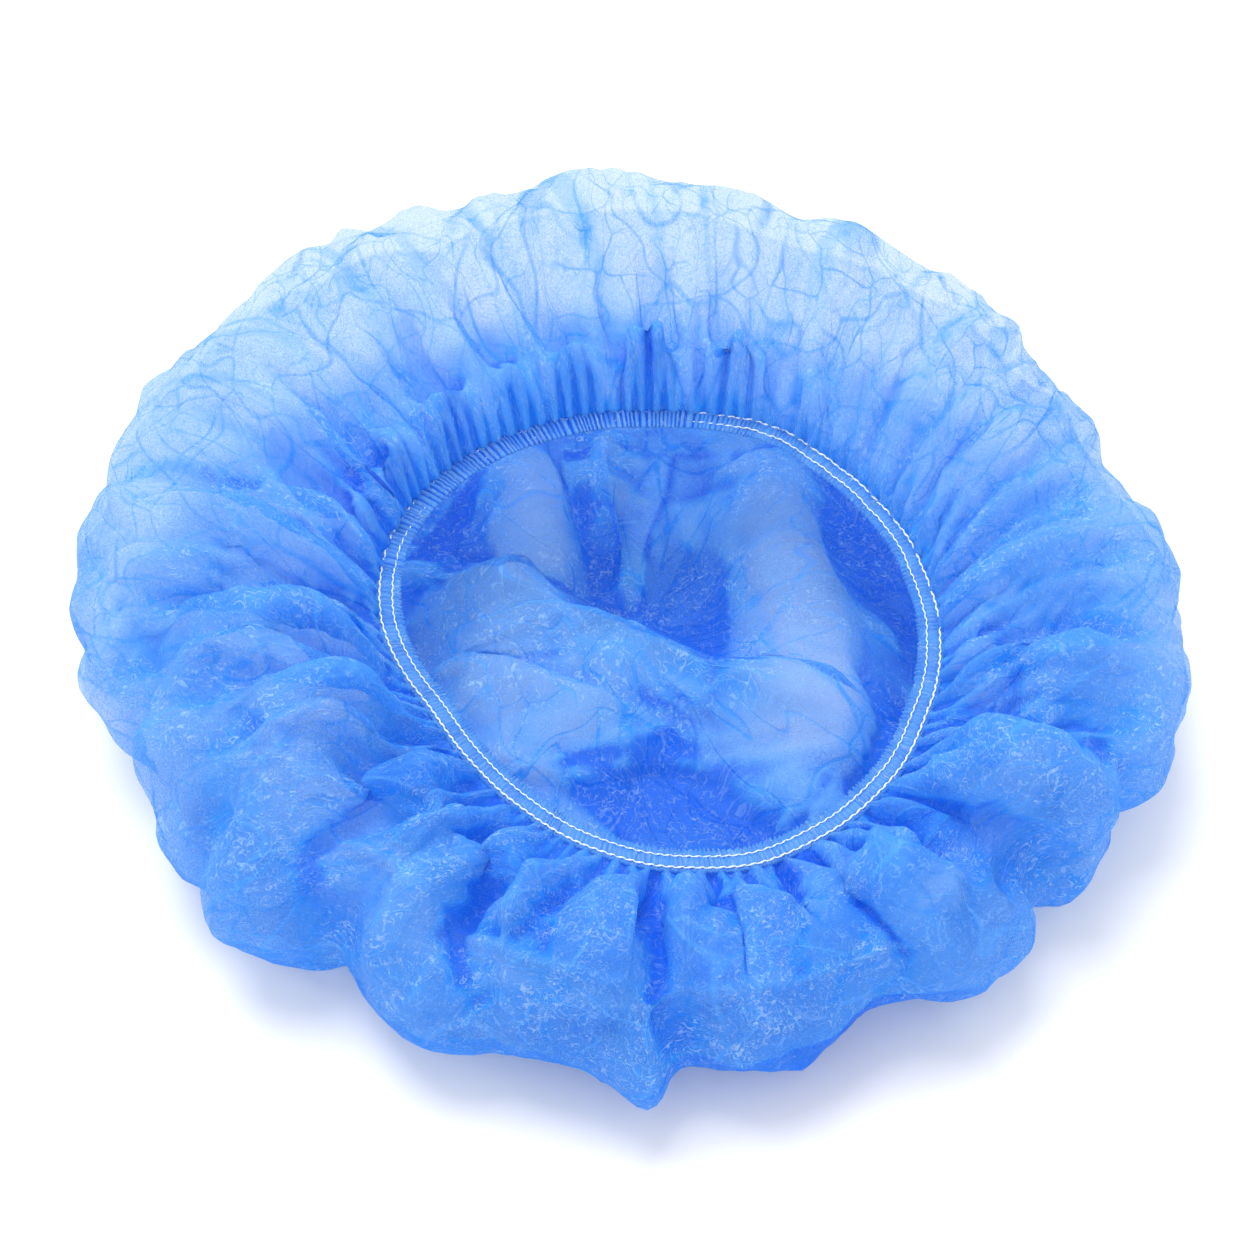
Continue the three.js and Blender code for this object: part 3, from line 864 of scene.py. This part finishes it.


# Spun-bonded cloth: fibres with holes between them. Creases, crinkles, curly strands and the fine lines
# of the gathers cover more, and the share covered grows with the number of layers. Valleys count more
# layers and take the deep colour, and ridges, crinkles and curly strands take the lit colour: painted
# shade and painted highlight.
def clothMaterial(name, look, cover=0.0, gathered=True):
    paint = Paint(name)
    place = paint.node("ShaderNodeUVMap", {"uv_map": "flatCloth"})
    relief = paint.attribute("relief")
    # Fewer layers on ridges and more in valleys: painted highlight and painted shade.
    layers = paint.attribute("layers") * (1.05 - 0.3 * relief)

    def noise(where, key, detail=1.0, distortion=0.0, output=0, flat="2D"):
        return paint.noise(where, clothPattern[key], detail, distortion, output, flat)

    def lines(pattern, start, end):
        return abs(pattern - 0.5).ramp(start, end, 1.0, 0.0)

    def facetEdges(where, key, width, strength):
        settings = {"feature": "DISTANCE_TO_EDGE", "voronoi_dimensions": "2D"}
        inputs = {"Vector": where, "Scale": clothPattern[key]}
        return paint.node("ShaderNodeTexVoronoi", settings, inputs).ramp(0.0, width, strength, 0.0)

    warp = noise(place, "warp", output=1)
    offset = paint.node("ShaderNodeVectorMath", {"operation": "SUBTRACT"}, {0: warp, 1: (0.5, 0.5, 0.5)})
    by = (clothPattern["warpBy"], clothPattern["warpBy"], 0.0)
    moved = paint.node("ShaderNodeVectorMath", {"operation": "MULTIPLY_ADD"}, {0: offset, 1: by, 2: place})
    patches = noise(place, "patches")
    crease = facetEdges(moved, "facets", 0.04, 1.0) * patches.ramp(0.42, 0.56)
    crease = crease + facetEdges(moved, "largeFacets", 0.02, 0.9)
    crinkle = lines(noise(moved, "crinkle", 2.0), 0.0, 0.03)
    if gathered:
        drawn = lines(noise(paint.attribute("gatherPlace", 1), "gathers", flat="3D"), 0.0, 0.02)
        crease = crease + drawn * patches.ramp(0.4, 0.6, 1.0, 0.3)
    strands = lines(noise(place, "strands", 1.0, 1.1), 0.006, 0.044)
    fuzz = noise(place, "fuzz", 0.0)
    single = look["coverage"] + cover + 0.28 * crease + 0.13 * crinkle + 0.15 * (strands - 0.4)
    single = single + 0.16 * (patches - 0.5) + 0.14 * (fuzz - 0.5)
    coverage = 1 - (1 - single) ** layers
    # The deep colour comes with more layers and in valleys: partly real layering, partly painted shade.
    deep = (layers - 1.8 * relief).ramp(look["deepFrom"], look["deepAt"])
    solid = paint.colours(deep, look["fibre"], look["deep"])
    # Ridges, crinkles and curly strands take the lit colour: a painted highlight.
    raised = relief.ramp(0.0, 1.0)
    curls = strands * patches.ramp(0.4, 0.56, 0.35, 1.0) * layers.ramp(2.6, 6.0, 1.0, 0.45)
    colour = paint.colours(0.6 * curls + 0.2 * crinkle + 0.12 * raised, solid, look["lit"])
    height = 0.45 * crease + 0.2 * crinkle + 0.3 * strands
    bumped = paint.bump(height, look["bumpStrength"], look["bumpDistance"])
    front = paint.surface(colour, look["roughness"], bumped, look["specular"])
    inputs = {"Color": (*look["through"], 1), "Normal": bumped}
    through = paint.node("ShaderNodeBsdfTranslucent", {}, inputs)
    fibre = paint.node("ShaderNodeMixShader", {}, {0: look["throughShare"], 1: front, 2: through})
    holes = paint.node("ShaderNodeBsdfTransparent", {}, {"Color": (*look["holes"], 1)})
    return paint.finish(paint.node("ShaderNodeMixShader", {}, {0: coverage, 1: holes, 2: fibre}))


threadLook = {
    "colour": (0.90, 0.94, 0.98), "shade": (0.60, 0.76, 0.95),
    "twist": 2600.0, "roughness": 0.6, "bumpStrength": 0.4, "bumpDistance": 0.00008,
}


# Spun polyester thread: fine fibres, paler on the crests of its bumps and darker between them, a painted
# highlight and painted shade.
def threadMaterial(name, look):
    paint = Paint(name)
    twist = paint.noise(paint.node("ShaderNodeTexCoord", {}, {}, 3), look["twist"])
    colour = paint.colours(twist.ramp(0.35, 0.62), look["shade"], look["colour"])
    bumped = paint.bump(twist, look["bumpStrength"], look["bumpDistance"])
    return paint.finish(paint.surface(colour, look["roughness"], bumped))


elasticLook = {
    "colour": (0.30, 0.55, 0.95), "grooveShade": (0.04, 0.22, 0.75),
    "fleck": 1800.0, "roughness": 0.5, "bumpStrength": 0.4, "bumpDistance": 0.0001,
}


# Braided elastic: ribs across the strip, with painted shade that darkens the grooves between them.
def elasticMaterial(name, look):
    paint = Paint(name)
    fleck = paint.noise(paint.node("ShaderNodeTexCoord", {}, {}, 3), look["fleck"], 2.0)
    # Darker in the grooves between the ribs: painted shade.
    colour = paint.colours(paint.attribute("rib") * 0.8 + fleck * 0.2, look["grooveShade"], look["colour"])
    bumped = paint.bump(fleck, look["bumpStrength"], look["bumpDistance"])
    return paint.finish(paint.surface(colour, look["roughness"], bumped))


stage = {
    "floorSize": 8.0, "floorColour": (0.86, 0.86, 0.86), "worldStrength": 1.07,
    "lampStrength": 2.05, "lampSoftness": 36.0, "lampFrom": (-0.24, 0.40, 1.0),
    "bounces": {"max_bounces": 5, "diffuse_bounces": 2, "transparent_max_bounces": 9},
}
view = {
    "lens": 90.0, "sensor": 36.0, "elevation": 50.0, "distance": 0.793,
    "target": (-0.0014, -0.0105, 0.027),
}


# White paper under the cap, an even white sky and one wide soft lamp.
def makeStage():
    half = stage["floorSize"] / 2
    mesh = bpy.data.meshes.new("floor")
    square = [(-half, -half, 0), (half, -half, 0), (half, half, 0), (-half, half, 0)]
    mesh.from_pydata(square, [], [(0, 1, 2, 3)])
    floor = bpy.data.objects.new("floor", mesh)
    bpy.context.scene.collection.objects.link(floor)
    paint = Paint("floorPaper")
    colour = (*stage["floorColour"], 1)
    mesh.materials.append(paint.finish(paint.node("ShaderNodeBsdfDiffuse", {}, {"Color": colour})))
    world = bpy.data.worlds.new("studio")
    world.use_nodes = True
    sky = world.node_tree.nodes["Background"]
    sky.inputs[0].default_value = (1, 1, 1, 1)
    sky.inputs[1].default_value = stage["worldStrength"]
    bpy.context.scene.world = world
    light = bpy.data.lights.new("softbox", "SUN")
    light.energy, light.angle = stage["lampStrength"], math.radians(stage["lampSoftness"])
    lamp = bpy.data.objects.new("softbox", light)
    lamp.location = stage["lampFrom"]
    lamp.rotation_euler = (-lamp.location).to_track_quat("-Z", "Y").to_euler()
    bpy.context.scene.collection.objects.link(lamp)
    bpy.context.scene.view_settings.view_transform = "Standard"
    for key, count in stage["bounces"].items():
        setattr(bpy.context.scene.cycles, key, count)


# A long lens from the front and above.
def makeCamera():
    camera = bpy.data.cameras.new("camera")
    camera.lens, camera.sensor_width = view["lens"], view["sensor"]
    place = bpy.data.objects.new("camera", camera)
    tilt = math.radians(view["elevation"])
    x, y, z = view["target"]
    place.location = (x, y - view["distance"] * math.cos(tilt), z + view["distance"] * math.sin(tilt))
    place.rotation_euler = (math.pi / 2 - tilt, 0, 0)
    bpy.context.scene.collection.objects.link(place)
    bpy.context.scene.camera = place


hemReach = 2.7  # how far the hem's CAD box reaches out from the stitching's middle line


# How far all pieces are moved in plan, so that the hem lies in the middle of its CAD box.
def planShift():
    low, high = (np.array(corner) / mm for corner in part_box("hem_casing"))
    line = rimLine(around(720), hemReach)
    return (low + high)[:2] / 2 - (line[:2].min(1) + line[:2].max(1)) / 2


shift = planShift()


# Gives a piece its material and slot, hangs it under the root body, and hides the CAD part that it replaces.
def fit(piece, material, node=None):
    piece.data.materials.append(material)
    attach(piece, "root")
    if node:
        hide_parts(node)


crownFit = {
    "turnedUnder": 8.5,  # of the flat sheet, all round, in the hem
    "gatherRadius": 0.07, "gatherStretch": 0.3,  # where the gathers' lines lie: round a thin tube
}


# The crown, with its places on the flat cloth, and the places that draw the gathers' fine lines.
def makeCrown():
    points, angle, flatRadius, values = crownCloth()
    points[:2] += shift[:, None, None]
    radiusAt = flatRadius[:, None] * mm
    flatPlace = np.stack([radiusAt * np.cos(angle), radiusAt * np.sin(angle)], -1)
    fromRim = flatRadius[0] * mm - radiusAt + 0 * angle
    aroundRim = [crownFit["gatherRadius"] * wave(angle) + 0 * fromRim for wave in (np.cos, np.sin)]
    values["gatherPlace"] = np.stack([*aroundRim, crownFit["gatherStretch"] * fromRim])
    crown = gridObject("crownSheet", points, "pole", flatPlace, values)
    fit(crown, clothMaterial("crownCloth", clothLook), "crown")


hem = {
    "inward": 3.2, "outward": 2.8, "lipRise": 0.45, "halfHeight": 0.75, "edgePower": 0.35,
    "below": 0.8,  # the underside's height, as a share of the upper side's
    "pleats": 338, "columnsPerPleat": 6, "rows": 22,
    "pleatHeight": 0.42, "scallop": 0.9, "wander": 0.4,
    "stitchPlaces": (-1.55, 1.7), "stitchDip": 0.3, "stitchWidth": 0.45,
    "pressed": 0.8,  # how far the stitches press the pleats flat
    "covered": (2.8, 4.4),  # from how many layers the thread is hidden under the cloth, and wholly
    "flatWidth": 0.014,  # of the cloth once round the casing, in metres
    "fibre": (0.12, 0.48, 0.98), "cover": 0.02,
}


# A cosine or sine whose size is raised to a power under 1, which makes its curve squarer.
def squarer(wave, power):
    return np.sign(wave) * np.abs(wave) ** power


# How far the band wanders outward and up: sums of a few slow waves round the rim.
def bandWander(angle):
    out = np.sin(5 * angle + 1) + 0.6 * np.sin(11 * angle + 2.4) + 0.5 * np.sin(19 * angle)
    up = np.sin(4 * angle + 0.3) + 0.7 * np.sin(9 * angle + 4) + 0.4 * np.sin(17 * angle + 1.2)
    return hem["wander"] * out / 2, hem["wander"] * up / 2


# The hem's pleats round the rim, from -1 in the gaps to 1 on the crests: rounded, unevenly spaced.
def hemPleat(angle):
    uneven = 1.1 * np.sin(23 * angle + 2) + 0.9 * np.sin(41 * angle) + 0.5 * np.sin(67 * angle + 1)
    size = 0.8 + 0.25 * np.sin(31 * angle + 0.7) + 0.2 * np.sin(53 * angle)
    return size * (2 * np.abs(np.sin(hem["pleats"] / 2 * angle + uneven)) - 1)


# Height of the hem's upper side at a place across it: a rounded slab with a dip along each stitch
# row and pleats between them.
def hemTop(across, angle):
    edge = np.where(across < 0, across / hem["inward"], across / hem["outward"])
    slab = hem["halfHeight"] * np.clip(1 - edge ** 2, 0, None) ** hem["edgePower"]
    dip = sum(bell((across - place) / hem["stitchWidth"]) for place in hem["stitchPlaces"])
    pleat = hem["pleatHeight"] * hemPleat(angle) * (1 - hem["pressed"] * unit(dip))
    return slab * (1 + pleat / hem["halfHeight"]) - hem["stitchDip"] * dip * np.clip(slab, 0, 0.6)


# Carries points given as outward and up from the rim's line to their place round the rim.
def roundRim(angle, outward, upward):
    wanderOut, wanderUp = bandWander(angle)
    points = rimLine(angle, outward + wanderOut, upward + wanderUp)
    points[:2] += shift.reshape(2, *(1,) * (points.ndim - 1))
    return points


# The casing: a closed flat loop of cloth carried round the rim, its inner lip scalloped.
def makeHem():
    angle = around(hem["pleats"] * hem["columnsPerPleat"])
    side = around(hem["rows"])[:, None]
    reach = np.where(np.cos(side) < 0, hem["inward"], hem["outward"])
    across = squarer(np.cos(side), 0.8) * reach + 0 * angle
    upward = np.where(np.sin(side) >= 0, 1, -hem["below"]) * hemTop(across, angle)
    lip = unit(-across / hem["inward"]) ** 3
    across = across - hem["scallop"] * (hemPleat(angle) + 1) / 2 * lip
    upward = upward + hem["lipRise"] * lip * (hemPleat(angle) + 1) / 2
    points = roundRim(angle, across, upward)
    flatAcross = (np.arange(hem["rows"]) / hem["rows"] * hem["flatWidth"])[:, None] + 0 * angle
    flatPlace = np.stack([angle * crownGrid["flatRadius"] * mm + 0 * flatAcross, flatAcross], -1)
    # More layers in the pleats' gaps, and a higher relief on pleat crests and the lip, paint the gaps darker
    # and the crests and lip paler: painted shade and painted highlight.
    gap = 1 + 0.9 * unit(-hemPleat(angle))
    values = {
        "layers": sectionAt("layersHem", angle) * gap + 0 * flatAcross,
        "relief": np.clip(0.9 * hemPleat(angle) + 0.6 * lip, -1, 1),
    }
    casing = gridObject("hemCasing", points, "ring", flatPlace, values)
    look = {**clothLook, "fibre": hem["fibre"]}
    fit(casing, clothMaterial("hemCloth", look, hem["cover"], False), "hem_casing")


elastic = {
    "halfWidth": 1.15, "halfHeight": 0.28, "ribHeight": 0.06,
    "ribs": 338, "columnsPerRib": 4, "rows": 10,
}


# The elastic: a flat strip with rounded edges and ribs across it, lying inside the casing.
def makeElastic():
    angle = around(elastic["ribs"] * elastic["columnsPerRib"])
    side = around(elastic["rows"])[:, None]
    rib = np.abs(np.sin(elastic["ribs"] / 2 * angle)) + 0 * side
    across = elastic["halfWidth"] * squarer(np.cos(side), 0.6) + 0 * angle
    height = elastic["halfHeight"] + elastic["ribHeight"] * rib
    upward = squarer(np.sin(side), 0.5) * height
    strip = gridObject("elasticStrip", roundRim(angle, across, upward), "ring", None, {"rib": rib})
    fit(strip, elasticMaterial("elasticRibs", elasticLook), "elastic_band")


stitching = {
    "radius": 0.21, "stitches": 182, "columnsPerStitch": 10, "rows": 8,
    "lift": 0.14, "hump": 0.22, "hidden": 0.55,  # how far a row sinks where the cloth covers it
    "pinch": 0.6,  # of the radius, where the needle went through
    "strandTwist": 2, "strandDepth": 0.25,  # turns of the two strands in each stitch
    "sway": 0.13,
}
# The rows: name, place across the band, thickness and where round the rim the stitches start.
stitchRows = [
    ("stitch_row_inner", hem["stitchPlaces"][0], 0.85, 0.4),
    ("stitch_row_outer", hem["stitchPlaces"][1], 1.15, 0.0),
]


# A row of stitches: thread that humps over the cloth and pinches where the needle went through,
# with a cross-section of two twisted strands.
def makeStitchRow(name, place, thickness, phase, material):
    angle = around(stitching["stitches"] * stitching["columnsPerStitch"])
    along = stitching["stitches"] * angle / 2 + phase
    hump = np.abs(np.sin(along)) ** 0.7
    start, end = hem["covered"]
    covered = unit((sectionAt("layersHem", angle) - start) / (end - start))
    uneven = 0.08 * np.sin(37 * angle + phase) + 0.06 * np.sin(59 * angle)
    lift = stitching["lift"] + uneven + stitching["hump"] * hump - stitching["hidden"] * covered
    centre = hemTop(place + 0 * angle, 0 * angle + math.pi / hem["pleats"]) + lift
    side = around(stitching["rows"])[:, None]
    strands = 1 + stitching["strandDepth"] * np.cos(2 * (side - stitching["strandTwist"] * along))
    pinched = stitching["pinch"] + (1 - stitching["pinch"]) * hump
    radius = stitching["radius"] * thickness * pinched * strands
    sway = stitching["sway"] * np.sin(2 * along) + 0.5 * uneven
    points = roundRim(angle, place + sway + radius * np.cos(side), centre + radius * np.sin(side))
    fit(gridObject(name, points, "ring"), material)


makeStage()
makeCamera()
say("stage")
makeCrown()
say("crown")
makeHem()
makeElastic()
say("hem and elastic")
threadPaint = threadMaterial("stitchThread", threadLook)
for row in stitchRows:
    makeStitchRow(*row, threadPaint)
say("stitching")
